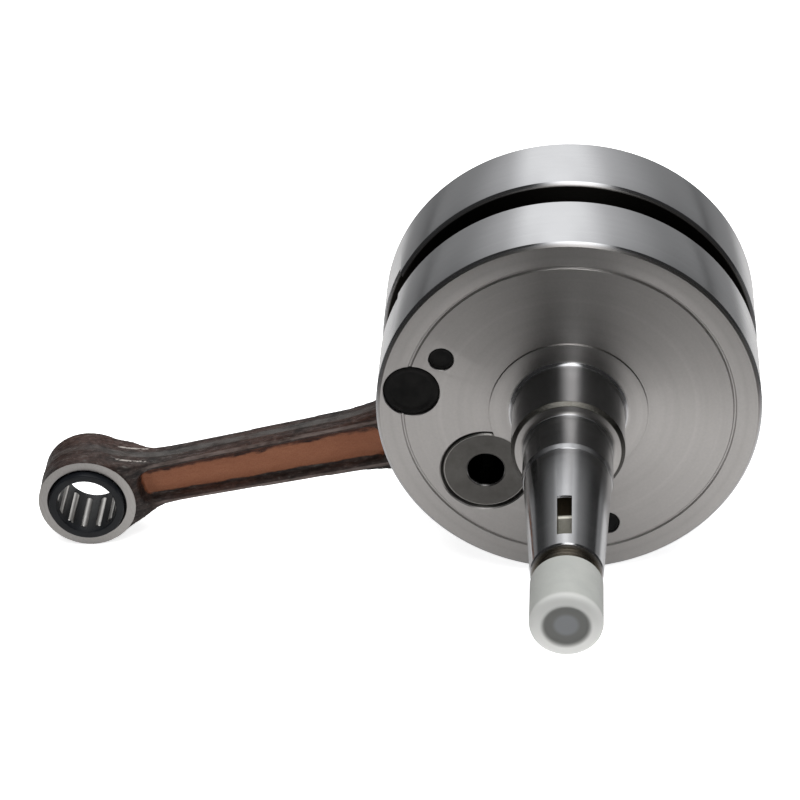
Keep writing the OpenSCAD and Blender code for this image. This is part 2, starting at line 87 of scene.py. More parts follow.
# ---------------------------------------------------------------- shader node helpers
class Shade:
    """One material: a Principled shader and short calls that add and join nodes."""

    def __init__(self, name, base, rough, metallic=1.0, **sockets):
        self.mat = bpy.data.materials.new(name)
        self.mat.use_nodes = True
        self.tree = self.mat.node_tree
        self.bsdf = self.tree.nodes["Principled BSDF"]
        self.bsdf.inputs["Base Color"].default_value = (*base, 1)
        self.bsdf.inputs["Roughness"].default_value = rough
        self.bsdf.inputs["Metallic"].default_value = metallic
        for key, value in sockets.items():
            self.bsdf.inputs[key.replace("_", " ")].default_value = value
        self.place = self.add("ShaderNodeTexCoord").outputs["Object"]
        self.bumps = None

    def add(self, kind, **settings):
        node = self.tree.nodes.new(kind)
        for key, value in settings.items():
            setattr(node, key, value)
        return node

    def feed(self, socket, value):
        """Joins an output to a socket, or sets the socket to a constant."""
        if isinstance(value, bpy.types.NodeSocket):
            self.tree.links.new(value, socket)
        else:
            socket.default_value = value

    def to(self, name, value):
        self.feed(self.bsdf.inputs[name], value)

    def math(self, operation, a, b=0.0, c=0.0):
        node = self.add("ShaderNodeMath", operation=operation)
        for socket, value in zip(node.inputs, (a, b, c)):
            self.feed(socket, value)
        return node.outputs[0]

    def vec(self, operation, a, b=(0, 0, 0)):
        node = self.add("ShaderNodeVectorMath", operation=operation)
        self.feed(node.inputs[0], a)
        self.feed(node.inputs[1], b)
        return node.outputs["Value" if operation == "LENGTH" else "Vector"]

    def join(self, x=0.0, y=0.0, z=0.0):
        node = self.add("ShaderNodeCombineXYZ")
        for socket, value in zip(node.inputs, (x, y, z)):
            self.feed(socket, value)
        return node.outputs[0]

    def split(self, vector):
        node = self.add("ShaderNodeSeparateXYZ")
        self.feed(node.inputs[0], vector)
        return node.outputs

    def noise(self, scale, detail, rough, at=None):
        """Noise over the object's own coordinates in metres, or over the vector at."""
        node = self.add("ShaderNodeTexNoise")
        self.feed(node.inputs["Vector"], self.place if at is None else at)
        node.inputs["Scale"].default_value = scale
        node.inputs["Detail"].default_value = detail
        node.inputs["Roughness"].default_value = rough
        return node.outputs["Fac"]

    def span(self, value, low, high, to_low=0.0, to_high=1.0, smooth=False):
        """Maps value from low..high to to_low..to_high, held at the ends."""
        node = self.add("ShaderNodeMapRange", clamp=True)
        node.interpolation_type = "SMOOTHSTEP" if smooth else "LINEAR"
        for name, number in (("From Min", low), ("From Max", high), ("To Min", to_low), ("To Max", to_high)):
            node.inputs[name].default_value = number
        self.feed(node.inputs["Value"], value)
        return node.outputs["Result"]

    def edge(self, value, low, high, to_low=0.0, to_high=1.0, smooth=False):
        """span() of a distance, between low and high in millimetres."""
        return self.span(value, low * MM, high * MM, to_low, to_high, smooth)

    def band(self, value, low, high, soft):
        """1 inside low..high, fading to 0 over soft at both ends, all in millimetres."""
        up = self.edge(value, low - soft, low, smooth=True)
        down = self.edge(value, high, high + soft, 1.0, 0.0, smooth=True)
        return self.math("MULTIPLY", up, down)

    def vary(self, noise, to_low=0.0, to_high=1.0):
        """Spreads the middle of a noise's range over to_low..to_high."""
        return self.span(noise, 0.3, 0.7, to_low, to_high)

    def overlap(self, *masks):
        """Product of masks."""
        total = masks[0]
        for mask in masks[1:]:
            total = self.math("MULTIPLY", total, mask)
        return total

    def blend(self, share, a, b):
        """Colour a where share is 0, b where it is 1."""
        node = self.add("ShaderNodeMix", data_type="RGBA")
        for socket, value in ((node.inputs["Factor"], share), (node.inputs[6], a), (node.inputs[7], b)):
            if not isinstance(value, (int, float, bpy.types.NodeSocket)):
                value = (*value, 1)
            self.feed(socket, value)
        return node.outputs[2]

    def lerp(self, share, a, b):
        """Number a where share is 0, b where it is 1."""
        node = self.add("ShaderNodeMix", data_type="FLOAT")
        for socket, value in zip((node.inputs["Factor"], node.inputs[2], node.inputs[3]), (share, a, b)):
            self.feed(socket, value)
        return node.outputs[0]

    def bump(self, height, distance, strength):
        """Adds a layer of bump over those already there."""
        node = self.add("ShaderNodeBump")
        node.inputs["Strength"].default_value = strength
        node.inputs["Distance"].default_value = distance
        self.feed(node.inputs["Height"], height)
        if self.bumps is not None:
            self.feed(node.inputs["Normal"], self.bumps)
        self.bumps = node.outputs[0]
        self.to("Normal", self.bumps)

    def turned(self, centre):
        """Radius about the line through centre along Y, distance along it, and the arm from it."""
        from_centre = self.vec("SUBTRACT", self.place, tuple(centre))
        arm = self.vec("MULTIPLY", from_centre, (1, 0, 1))
        return self.vec("LENGTH", arm), self.split(from_centre)[1], arm

    def turning_sheen(self, arm, amount):
        """Stretches the gloss across the turning marks."""
        around = self.vec("CROSS_PRODUCT", (0, 1, 0), arm)
        turn = self.add("ShaderNodeVectorTransform", vector_type="VECTOR", convert_from="OBJECT",
                        convert_to="WORLD")
        self.feed(turn.inputs[0], around)
        normal = self.add("ShaderNodeNewGeometry").outputs["Normal"]
        across = self.vec("NORMALIZE", self.vec("CROSS_PRODUCT", normal, turn.outputs[0]))
        self.to("Tangent", across)
        self.bsdf.inputs["Anisotropic"].default_value = amount


# ---------------------------------------------------------------- sizes, in millimetres
def in_mm(node):
    """Lowest and highest corner of a CAD node."""
    low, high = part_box(node)
    return low / MM, high / MM


MOUNTS = {m["name"]: m for m in frame["record"]["mounts"]}
# The pin, and the webs from their inner to their outer face, with a pocket and a step inside
PIN_HOLE_R, PIN_RECESS = 4.5, 0.3
PIN_LOW, PIN_HIGH = in_mm("crank_pin")
PIN_R = (PIN_HIGH.x - PIN_LOW.x) / 2
WEB_R = in_mm("ignition_side_crank_half")[1].x
INNER, FACE = 4.3, PIN_HIGH.y + PIN_RECESS
THROW_R, THROW_ANGLE = PIN.length / MM, math.atan2(PIN.z, PIN.x)
POCKET_R, POCKET_DEPTH = 21.0, 4.0
STEP_X, STEP_DEPTH = 18.6, 3.1
BOSS_R, BOSS_H = 19.8, 0.5
GROOVE_R = 41.3
# The shafts, each with its places counted outwards from the part's middle
JOURNAL_R = MOUNTS["main_journal_ignition"]["dims"]["r_mm"]
SEAL_R = MOUNTS["seal_journal_ignition"]["dims"]["r_mm"]
IGNITION_END = -in_mm("ignition_side_crank_half")[0].y
DRIVE_END = in_mm("drive_side_crank_half")[1].y
JOURNAL_END = FACE + 18.3
SEAL_END = FACE + 31.3
TAPER_START, TAPER_START_R = FACE + 33.05, 10.62
TAPER_END, TAPER_END_R = FACE + 69.5, 8.56
SLOT_MID, SLOT_ANGLE = FACE + 59, math.radians(91.2)
SLOT_W, SLOT_DEPTH, SLOT_CUTTER_R = 3.5, 4.7, 8.0
PITCH = 1.5
THREAD_DEPTH = 0.6134 * PITCH
IGNITION_THREAD_R, DRIVE_THREAD_R = 8.0, 7.0
SPLINE_R, SPLINE_TEETH, SPLINE_DEPTH = 11.0, 16, 1.1
SPLINE_START, SPLINE_END = FACE + 24.3, FACE + 44.0
SPLINE_BASE = SPLINE_START - 0.4
IGNITION_THREAD_START, DRIVE_THREAD_START = TAPER_END + 1.4, SPLINE_END + 2.5
# The rod, drawn along X from the big end's centre, with its thickness along Z
ROD_LEN = (SMALL_END - PIN).length / MM
ROD_TURN = math.atan2(SMALL_END.z - PIN.z, SMALL_END.x - PIN.x)
ROD_PLACE = Matrix.Translation(PIN) @ OUT_IGNITION @ Matrix.Rotation(ROD_TURN, 4, "Z")
BIG_EYE_R, BIG_BORE_R, BIG_HALF_W = 18.5, 14.0, 7.1
SMALL_BORE_R = 10.0
SMALL_EYE_R = (SMALL_END.z - cad_box[0].z) / MM
SMALL_HALF_W = in_mm("connecting_rod")[1].y
SHANK_HALF_T, SHANK_WEB_HALF_T = 4.05, 1.6
SHANK_BIG_H, SHANK_SMALL_H = 7.25, 6.3
BIG_FLARE_R, SMALL_FLARE_R = 60.0, 34.0
FLASH_HALF_T, BORE_CHAMFER = 1.3, 0.5
STATION = 0.75      # spacing of the shank's cross-sections
CHANNEL_START, CHANNEL_END = BIG_EYE_R + 10.0, ROD_LEN - SMALL_EYE_R - 2.0
CHANNEL_BIG_H, CHANNEL_SMALL_H, CHANNEL_CORNER, DRAFT = 4.95, 4.0, 2.2, 0.2


# ---------------------------------------------------------------- materials
def ground_steel():
    """Turned web faces, ground rims and journals, and the darker slot and threads, told apart by place."""
    s = Shade("ground_steel", (0.42, 0.41, 0.40), 0.3)
    radius, along, arm = s.turned(AXIS)
    s.turning_sheen(arm, 0.75)
    out, height = s.math("ABSOLUTE", along), s.split(s.place)[2]
    rings = s.join(radius, along)
    fine = s.noise(2600, 3.0, 0.6, at=rings)
    broad = s.noise(420, 2.0, 0.5, at=rings)
    grit = s.noise(5200, 2.0, 0.7)
    blotch = s.noise(38, 4.0, 0.6)
    speckle = s.noise(1500, 3.0, 0.7)

    # the rims and the shaft are ground, the web faces turned
    rim = s.edge(radius, WEB_R - 0.8, WEB_R - 0.2)
    shaft = s.edge(radius, JOURNAL_R + 1.0, JOURNAL_R + 0.6)
    polished = s.math("MAXIMUM", rim, shaft)
    face_rough = s.math("ADD", s.vary(fine, 0.32, 0.42), s.vary(blotch, -0.03, 0.03))
    fine_rough = s.math("ADD", s.vary(fine, 0.12, 0.19), s.vary(blotch, -0.02, 0.04))
    rough = s.lerp(polished, face_rough, fine_rough)
    face = s.blend(s.span(broad, 0.25, 0.75), (0.425, 0.411, 0.400), (0.485, 0.470, 0.458))
    face = s.blend(s.span(speckle, 0.35, 0.65, 0.0, 0.10), face, (0.22, 0.21, 0.205))
    ground = s.blend(s.vary(blotch), (0.53, 0.535, 0.55), (0.60, 0.605, 0.62))
    colour = s.blend(polished, face, ground)

    # the step between the journals is turned like the web faces
    step = s.overlap(s.band(out, JOURNAL_END - 0.04, JOURNAL_END + 1.0, 0.05),
                     s.edge(radius, SEAL_R + 0.12, SEAL_R + 0.3))
    colour = s.blend(step, colour, face)
    rough = s.lerp(step, rough, face_rough)

    # the bevelled mouths of the pin's bores are painted dark: painted shade in the crease round the pin
    from_pin = s.turned(PIN)[0]
    mouth = s.overlap(s.edge(from_pin, PIN_R + 0.55, PIN_R + 0.4), s.edge(out, FACE - 2.0, FACE - 1.5),
                      s.edge(radius, BOSS_R + 0.05, BOSS_R + 0.1), s.edge(out, FACE - 0.01, FACE - 0.06))
    colour = s.blend(mouth, colour, (0.05, 0.048, 0.045))
    rough = s.lerp(mouth, rough, 0.4)

    # the journal's end bevel is rougher and warmer than the ground journal, and painted dark on its lower
    # part: painted shade
    bevel = s.overlap(s.band(out, JOURNAL_END - 1.0, JOURNAL_END + 0.1, 0.1),
                      s.edge(radius, JOURNAL_R - 1.1, JOURNAL_R - 0.9))
    grainy = s.blend(s.span(grit, 0.35, 0.65), (0.13, 0.122, 0.105), (0.50, 0.485, 0.44))
    grainy = s.blend(s.edge(height, 6.5, 10.5), (0.055, 0.052, 0.047), grainy)
    colour = s.blend(bevel, colour, grainy)
    rough = s.lerp(bevel, rough, 0.30)

    # inside the web gap the steel is painted near black: painted shade between the webs
    gap = s.overlap(s.edge(out, INNER + POCKET_DEPTH + 0.6, INNER + POCKET_DEPTH + 0.2),
                    s.edge(radius, WEB_R - 0.7, WEB_R - 1.0))
    colour = s.blend(gap, colour, (0.028, 0.026, 0.023))
    rough = s.lerp(gap, rough, 0.45)

    # threads, and the inside of the key slot, are a dull bronze grey
    ignition_end = s.overlap(s.edge(along, -TAPER_END - 0.1, -TAPER_END - 0.5),
                             s.edge(radius, IGNITION_THREAD_R + 0.35, IGNITION_THREAD_R + 0.2))
    drive_end = s.overlap(s.edge(along, SPLINE_END + 0.3, SPLINE_END + 0.6),
                          s.edge(radius, DRIVE_THREAD_R + 0.3, DRIVE_THREAD_R + 0.2))
    slope = (TAPER_START_R - TAPER_END_R) / (TAPER_END - TAPER_START)
    surface = s.math("MULTIPLY_ADD", along, slope, (TAPER_START_R + slope * TAPER_START) * MM)
    slot = s.overlap(s.edge(s.math("SUBTRACT", surface, radius), 0.2, 0.5), s.edge(height, 3, 4),
                     s.band(along, -SLOT_MID - 10, 10 - SLOT_MID, 0.5))
    dull = s.math("MAXIMUM", s.math("MAXIMUM", ignition_end, drive_end), slot)
    dull_colour = s.blend(s.vary(grit), (0.13, 0.11, 0.085), (0.27, 0.245, 0.20))

    # the slot's floor ends in a painted highlight line, and is painted nearly black, painted shade, where it
    # rises towards the web
    rise = 4.4 - SLOT_MID
    painted_slot_shade = s.overlap(slot, s.edge(along, rise - 0.2, rise + 0.2))
    shallow = s.overlap(slot, s.edge(along, rise + 0.2, rise - 0.2))
    line = s.overlap(slot, s.band(along, rise - 0.4, rise, 0.3))
    slot_floor = s.blend(s.vary(grit), (0.08, 0.077, 0.062), (0.18, 0.173, 0.146))
    dull_colour = s.blend(shallow, dull_colour, slot_floor)
    dull_colour = s.blend(line, dull_colour, (0.62, 0.60, 0.53))
    dull_colour = s.blend(painted_slot_shade, dull_colour, (0.014, 0.011, 0.007))
    s.to("Metallic", s.lerp(shallow, 1.0, 0.15))
    s.to("Base Color", s.blend(dull, colour, dull_colour))
    s.to("Roughness", s.lerp(dull, rough, 0.36))
    s.bump(fine, 0.00002, 0.25)
    s.bump(s.math("MULTIPLY", grit, s.math("MAXIMUM", bevel, dull)), 0.00012, 0.6)
    return s.mat


def pin_steel():
    """Ground pin, dark at its ends, with a bright line of wear and painted highlight round the end face."""
    s = Shade("pin_steel", (0.10, 0.10, 0.095), 0.36)
    radius, along, arm = s.turned(PIN)
    s.turning_sheen(arm, 0.5)
    fine = s.noise(3000, 3.0, 0.6, at=s.join(radius, along))
    stain = s.noise(260, 4.0, 0.65)
    end = s.overlap(s.edge(s.math("ABSOLUTE", along), FACE - 1.2, FACE - 0.9),
                    s.edge(radius, PIN_HOLE_R + 0.1, PIN_HOLE_R + 0.4))
    face = s.blend(s.vary(stain), (0.098, 0.094, 0.088), (0.125, 0.121, 0.115))
    # a bright line on the end face's bevel: wear and painted highlight
    wear_and_highlight = s.band(radius, PIN_R - 0.55, PIN_R - 0.3, 0.15)
    face = s.blend(wear_and_highlight, face, (0.42, 0.41, 0.39))
    # the bore is painted near black: painted shade inside the hole
    bore = s.edge(radius, PIN_HOLE_R + 0.35, PIN_HOLE_R + 0.15)
    side = s.blend(bore, (0.52, 0.52, 0.53), (0.012, 0.012, 0.011))
    s.to("Base Color", s.blend(end, side, face))
    s.to("Roughness", s.math("ADD", s.vary(fine, 0.30, 0.40), s.span(end, 0, 1, -0.12, 0.03)))
    s.bump(fine, 0.00002, 0.3)
    return s.mat


def forged_oxide():
    """Dark scale on the forging, copper left in its channels, bright steel where it was faced and bored."""
    s = Shade("forged_oxide", (0.05, 0.036, 0.032), 0.42, 0.35, Specular_IOR_Level=0.35)
    x, y, z = s.split(s.place)
    across, through = s.math("ABSOLUTE", y), s.math("ABSOLUTE", z)
    from_small = s.vec("LENGTH", s.join(s.math("SUBTRACT", x, ROD_LEN * MM), y))
    from_big = s.vec("LENGTH", s.join(x, y))
    eye_start = ROD_LEN - SMALL_EYE_R
    lengthwise = s.vec("MULTIPLY", s.place, (0.4, 1, 1))
    scale = s.noise(420, 5.0, 0.65, at=lengthwise)
    patch = s.noise(110, 3.0, 0.6, at=lengthwise)
    pits = s.noise(1300, 4.0, 0.7, at=lengthwise)
    grit = s.noise(2600, 3.0, 0.7)

    # scale with rusty patches, black pits and a few pale specks; the trimmed flash line is paler
    oxide = s.blend(s.span(scale, 0.38, 0.62), (0.008, 0.006, 0.0055), (0.047, 0.034, 0.030))
    oxide = s.blend(s.span(patch, 0.42, 0.66, 0.0, 0.65), oxide, (0.058, 0.024, 0.016))
    oxide = s.blend(s.span(pits, 0.46, 0.60, 0.0, 0.55), oxide, (0.004, 0.0035, 0.003))
    oxide = s.blend(s.span(pits, 0.42, 0.34, 0.0, 0.6), oxide, (0.085, 0.083, 0.076))
    trimmed = s.overlap(s.edge(through, FLASH_HALF_T, FLASH_HALF_T - 0.4), s.edge(across, 5.2, 5.8),
                        s.span(scale, 0.38, 0.58, 0.35, 1.0), s.edge(x, eye_start, ROD_LEN - 7, 0.7, 0.3))
    oxide = s.blend(trimmed, oxide, (0.085, 0.082, 0.078))

    # the copper narrows with the channel towards the small end; the flange's edge beyond it is worn and
    # carries a painted highlight
    taper = (CHANNEL_BIG_H - CHANNEL_SMALL_H) / (CHANNEL_END - CHANNEL_START)
    limit = s.math("MULTIPLY_ADD", x, -taper, (CHANNEL_BIG_H - 0.45 + taper * CHANNEL_START) * MM)
    beyond = s.math("SUBTRACT", across, limit)
    wear_and_highlight = s.overlap(s.edge(through, SHANK_HALF_T - 0.55, SHANK_HALF_T - 0.25), s.band(beyond, 1.8, 2.4, 0.3),
                     s.edge(x, eye_start - 3, eye_start - 7), s.span(scale, 0.34, 0.62, 0.2, 0.9))
    oxide = s.blend(wear_and_highlight, oxide, (0.16, 0.125, 0.112))
    # a painted glint on the flange where the shank swells into the small eye
    painted_glint = s.overlap(s.band(x, eye_start - 4, eye_start + 2, 1.2), s.band(through, 2.8, 3.2, 0.2),
                       s.edge(beyond, 2.0, 2.4), s.span(pits, 0.58, 0.5))
    oxide = s.blend(painted_glint, oxide, (0.58, 0.54, 0.50))

    # the copper's border is ragged, and painted shade lies along the lower one
    ragged = s.math("MULTIPLY_ADD", scale, 3.0 * MM, -1.5 * MM)
    plated = s.overlap(s.edge(s.math("MULTIPLY_ADD", ragged, 0.4, beyond), 0.2, -0.1),
                       s.edge(s.math("ADD", through, ragged), 3.0, 2.4),
                       s.band(x, CHANNEL_START - 1, CHANNEL_END + 1, 0.6))
    unshaded = s.edge(s.math("ADD", s.math("ADD", y, limit), ragged), 0.9, 1.6)
    painted_lower_shade = s.blend(s.span(scale, 0.36, 0.64), (0.022, 0.012, 0.010), (0.10, 0.040, 0.026))
    copper = s.blend(s.vary(grit), (0.275, 0.108, 0.057), (0.35, 0.145, 0.08))
    copper = s.blend(s.span(patch, 0.4, 0.7, 0.0, 0.35), copper, (0.22, 0.075, 0.04))
    colour = s.blend(plated, oxide, s.blend(unshaded, painted_lower_shade, copper))

    # the eyes' faces, their bores and the bores' chamfers are machined
    small_faces = s.overlap(s.edge(through, SMALL_HALF_W - 0.06, SMALL_HALF_W - 0.02),
                            s.edge(from_small, SMALL_EYE_R + 0.6, SMALL_EYE_R + 0.3))
    big_faces = s.overlap(s.edge(through, BIG_HALF_W - 0.06, BIG_HALF_W - 0.02),
                          s.edge(from_big, BIG_EYE_R + 1, BIG_EYE_R + 0.5))
    small_mouth, big_mouth = SMALL_BORE_R + BORE_CHAMFER, BIG_BORE_R + BORE_CHAMFER
    bores = s.math("MAXIMUM", s.edge(from_small, small_mouth + 0.02, small_mouth - 0.02),
                   s.edge(from_big, big_mouth + 0.02, big_mouth - 0.02))
    machined = s.math("MAXIMUM", s.math("MAXIMUM", small_faces, big_faces), bores)
    rings = s.noise(2400, 3.0, 0.6, at=s.join(from_small, from_big))
    steel = s.blend(s.vary(rings), (0.40, 0.385, 0.37), (0.50, 0.485, 0.47))
    s.to("Base Color", s.blend(machined, colour, steel))
    s.to("Metallic", s.math("MAXIMUM", s.math("MAXIMUM", machined, painted_glint), s.lerp(plated, 0.2, 0.55)))
    s.to("Roughness", s.lerp(machined, s.span(pits, 0.35, 0.65, 0.32, 0.55), s.vary(rings, 0.28, 0.38)))
    forged = s.math("SUBTRACT", 1.0, machined)
    s.bump(s.math("MULTIPLY", scale, forged), 0.0006, 0.7)
    pitted = s.math("SUBTRACT", forged, s.math("MULTIPLY", plated, 0.7))
    s.bump(s.math("MULTIPLY", pits, pitted), 0.00022, 0.7)
    s.bump(s.math("MULTIPLY", grit, forged), 0.00008, 0.35)
    return s.mat


def roller_steel():
    """Ground needle: fine lengthwise variation and a faint film."""
    s = Shade("roller_steel", (0.6, 0.59, 0.58), 0.2)
    fine = s.noise(3200, 2.0, 0.6, at=s.vec("MULTIPLY", s.place, (1, 0.25, 1)))
    film = s.noise(340, 3.0, 0.6)
    s.to("Base Color", s.blend(s.vary(film), (0.46, 0.445, 0.43), (0.56, 0.55, 0.53)))
    s.to("Roughness", s.vary(fine, 0.28, 0.38))
    s.bump(fine, 0.00001, 0.3)
    return s.mat


def black_cage():
    """Phosphated steel: near black and faintly blue."""
    s = Shade("black_cage", (0.012, 0.014, 0.017), 0.4, 0.0, Specular_IOR_Level=0.3)
    grain = s.noise(1900, 4.0, 0.65)
    film = s.noise(240, 3.0, 0.6)
    s.to("Base Color", s.blend(s.vary(film), (0.005, 0.006, 0.0075), (0.010, 0.0115, 0.0145)))
    s.to("Roughness", s.vary(grain, 0.34, 0.5))
    s.bump(grain, 0.00003, 0.4)
    return s.mat


def bronze():
    """Turned bronze washer with circular tool marks."""
    s = Shade("bronze", (0.5, 0.3, 0.16), 0.35)
    radius, along, arm = s.turned(PIN)
    s.turning_sheen(arm, 0.6)
    rings = s.noise(1800, 3.0, 0.6, at=s.join(radius, along))
    film = s.noise(160, 3.0, 0.6)
    s.to("Base Color", s.blend(s.vary(film), (0.46, 0.27, 0.14), (0.56, 0.35, 0.19)))
    s.to("Roughness", s.vary(rings, 0.28, 0.42))
    s.bump(rings, 0.00003, 0.4)
    return s.mat


def plug_black():
    """Moulded plastic with a fine matt grain."""
    s = Shade("plug_black", (0.006, 0.006, 0.006), 0.5, 0.0, Specular_IOR_Level=0.08)
    grain = s.noise(2400, 3.0, 0.6)
    cloud = s.noise(300, 3.0, 0.6)
    s.to("Base Color", s.blend(s.vary(cloud), (0.004, 0.004, 0.004), (0.010, 0.0095, 0.009)))
    s.to("Roughness", s.vary(grain, 0.42, 0.58))
    s.bump(grain, 0.00004, 0.4)
    return s.mat


def white_cap():
    """Milky plastic: the bolt end shows through the dished end as a grey ring round a paler middle; the end
    is painted lighter, painted light.
    """
    s = Shade("white_cap", (0.45, 0.455, 0.44), 0.5, 0.0, Specular_IOR_Level=0.3)
    radius, along, _ = s.turned(AXIS)
    cloud = s.noise(180, 3.0, 0.5)
    grain = s.noise(1500, 2.0, 0.5)
    wall = s.blend(s.vary(cloud), (0.33, 0.34, 0.324), (0.376, 0.382, 0.364))
    # painted light and shade: the end is painted lighter than the side, darker at the top and lighter towards
    # the bottom
    end = s.edge(along, -IGNITION_END - 0.2, -IGNITION_END - 1.6, smooth=True)
    low = s.edge(s.split(s.place)[2], 6, -7, smooth=True)
    wall = s.blend(end, wall, s.blend(low, (0.50, 0.505, 0.49), (0.74, 0.74, 0.72)))
    bolt = s.edge(radius, 6.2, 4.8, smooth=True)
    middle = s.edge(radius, 3.4, 2.2, smooth=True)
    through = s.blend(middle, (0.14, 0.142, 0.135), (0.19, 0.198, 0.205))
    s.to("Base Color", s.blend(s.overlap(end, bolt), wall, through))
    s.to("Roughness", s.vary(grain, 0.44, 0.56))
    s.bump(cloud, 0.00006, 0.25)
    return s.mat


MATERIALS = {make.__name__: make() for make in (
    ground_steel, pin_steel, forged_oxide, roller_steel, black_cage, bronze, plug_black, white_cap)}


# ---------------------------------------------------------------- mesh helpers
# Meshes are drawn in millimetres in the piece's own frame, and placed in the row frame by its matrix.
ROUND_STEPS = 4
TURN_STEPS = 192


def rounded(points, closed=False):
    """Outline of (radius, height, fillet) corners, each with its fillet drawn in."""
    out = []
    for i, corner in enumerate(points):
        here = Vector(corner[:2])
        fillet = corner[2] if len(corner) > 2 else 0
        if not fillet or (not closed and i in (0, len(points) - 1)):
            out.append(tuple(here))
            continue
        back = Vector(points[i - 1][:2]) - here
        ahead = Vector(points[(i + 1) % len(points)][:2]) - here
        half = back.angle(ahead) / 2
        reach = min(fillet / math.tan(half), 0.49 * back.length, 0.49 * ahead.length)
        u, v = back.normalized(), ahead.normalized()
        centre = here + (u + v).normalized() * reach / math.cos(half)
        start, end = here + u * reach - centre, here + v * reach - centre
        swing = math.pi - 2 * half
        for k in range(ROUND_STEPS + 1):
            t = k / ROUND_STEPS
            arm = start * math.sin((1 - t) * swing) + end * math.sin(t * swing)
            out.append(tuple(centre + arm / math.sin(swing)))
    return out


def bridge(bm, low, high):
    """Faces between two rings of points. A ring of one point is the tip of a cone or the middle of a disc."""
    count = max(len(low), len(high))
    for k in range(count):
        n = k + 1
        loop = [low[k % len(low)], low[n % len(low)], high[n % len(high)], high[k % len(high)]]
        corners = list(dict.fromkeys(loop))
        if len(corners) > 2:
            bm.faces.new(corners)


def lathe(outline, turns=TURN_STEPS, closed=False):
    """Solid of revolution about Z. An open outline starts and ends on the axis."""
    bm = bmesh.new()
    rings = []
    for radius, z in outline:
        count = turns if radius > 1e-6 else 1
        angles = (2 * math.pi * k / turns for k in range(count))
        rings.append([bm.verts.new((radius * math.cos(a), radius * math.sin(a), z)) for a in angles])
    for low, high in zip(rings, rings[1:] + (rings[:1] if closed else [])):
        bridge(bm, low, high)
    bmesh.ops.recalc_face_normals(bm, faces=bm.faces)
    return bm


def stack(loops):
    """Closed solid through loops of points that all have the same count."""
    bm = bmesh.new()
    rings = [[bm.verts.new(point) for point in loop] for loop in loops]
    for low, high in zip(rings, rings[1:]):
        bridge(bm, low, high)
    bm.faces.new(rings[0])
    bm.faces.new(rings[-1])
    bmesh.ops.recalc_face_normals(bm, faces=bm.faces)
    return bm


def to_object(name, bm, matrix=Matrix.Identity(4)):
    """Object of a mesh drawn in millimetres. The matrix is baked in, and bm is used up."""
    bm.transform(matrix)
    bm.transform(Matrix.Scale(MM, 4))
    if matrix.determinant() < 0:
        bmesh.ops.reverse_faces(bm, faces=bm.faces)
    mesh = bpy.data.meshes.new(name)
    bm.to_mesh(mesh)
    bm.free()
    obj = bpy.data.objects.new(name, mesh)
    bpy.context.scene.collection.objects.link(obj)
    return obj


def cylinder(name, radius, low, high, place, turns=TURN_STEPS):
    """Plain cylinder between two heights on its axis."""
    return to_object(name, lathe([(0, low), (radius, low), (radius, high), (0, high)], turns), place)


def settle(obj):
    """Applies every modifier of obj to its mesh."""
    bpy.context.view_layer.update()
    evaluated = obj.evaluated_get(bpy.context.evaluated_depsgraph_get())
    mesh = bpy.data.meshes.new_from_object(evaluated)
    old = obj.data
    obj.modifiers.clear()
    obj.data = mesh
    bpy.data.meshes.remove(old)


def combine(obj, tools, operation="DIFFERENCE"):
    """Boolean of obj with each tool in turn. The tools are used up."""
    for tool in tools:
        cut = obj.modifiers.new("cut", "BOOLEAN")
        cut.operation, cut.object, cut.solver = operation, tool, "EXACT"
    settle(obj)
    for tool in tools:
        bpy.data.objects.remove(tool)


def piece(obj, body, slot, replaces=(), sharp=32):
    """Gives a finished mesh its shading, material and body, and hides the CAD nodes that it stands for."""
    obj.data.shade_smooth()
    obj.data.set_sharp_from_angle(angle=math.radians(sharp))
    obj.data.materials.clear()
    obj.data.materials.append(MATERIALS[slot])
    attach(obj, body)
    if replaces:
        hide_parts(*replaces)


# ---------------------------------------------------------------- crank halves
BEYOND = 3          # how far a cutting tool stands out past what it cuts
AT_PIN = Matrix.Translation((THROW_R * math.cos(THROW_ANGLE), THROW_R * math.sin(THROW_ANGLE), 0))


def web_corners():
    """Outline of a web and its main journal, from the axis at the inner face to the journal's end."""
    rim = WEB_R - 1.0
    return [
        (0, INNER), (rim, INNER, 0.15), (WEB_R, INNER + 1, 0.15), (WEB_R, FACE - 1, 0.15), (rim, FACE, 0.15),
        (GROOVE_R + 0.45, FACE, 0.22), (GROOVE_R + 0.22, FACE - 0.5, 0.2),
        (GROOVE_R - 0.22, FACE - 0.5, 0.2), (GROOVE_R - 0.45, FACE, 0.22),
        (BOSS_R, FACE, 0.06), (BOSS_R, FACE + BOSS_H, 0.2),
        (JOURNAL_R, FACE + BOSS_H, 1.5), (JOURNAL_R, JOURNAL_END - 0.8, 0.12),
        (JOURNAL_R - 0.8, JOURNAL_END, 0.12)]


def plug_drill(node, out):
    """Drill for a balance plug's hole right through a web, with a small bevel at the outer mouth."""
    low, high = in_mm(node)
    radius, bevel = (high.x - low.x) / 2 + 0.01, 0.15
    mouth = radius + 2 * bevel
    outline = [(0, INNER - 2), (radius, INNER - 2), (radius, FACE - bevel), (mouth, FACE + bevel),
               (mouth, FACE + BEYOND), (0, FACE + BEYOND)]
    centre = Matrix.Translation(((low.x + high.x) / 2, (low.z + high.z) / 2, 0))
    return to_object("drill", lathe(outline, 96), out @ centre)


